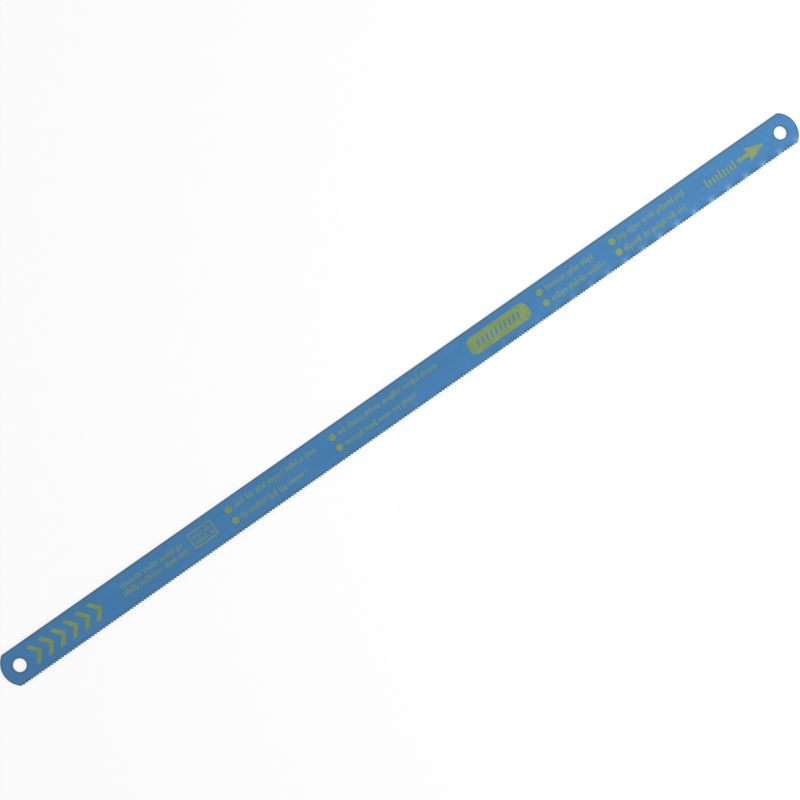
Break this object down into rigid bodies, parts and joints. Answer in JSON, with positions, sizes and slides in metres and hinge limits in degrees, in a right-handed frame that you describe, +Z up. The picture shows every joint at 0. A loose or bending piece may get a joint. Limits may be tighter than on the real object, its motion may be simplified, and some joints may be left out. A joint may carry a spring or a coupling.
{
  "type": "hacksaw blade",
  "caption": "Hand hacksaw blade: a thin blue lacquered steel strip with rounded ends, a pin hole near each end, and a finely toothed edge with a wavy set.",
  "frame": {"origin": "midway between the two pin holes along and across the blade, at the height of the lowest crests of the set", "axes": "+X along the blade towards its front end, the way the teeth point; +Y across it towards the back edge; +Z up out of the printed face"},
  "size_m": [0.3118, 0.012, 0.001],
  "materials": {
    "blue_lacquer": "smooth satin lacquer over hardened steel, darker along the sheared edges and in the gullets",
    "print_ink": "thin screen-printed yellow-green ink"
  },
  "bodies": {
    "root": {"blade": "blue_lacquer"}
  },
  "joints": []
}
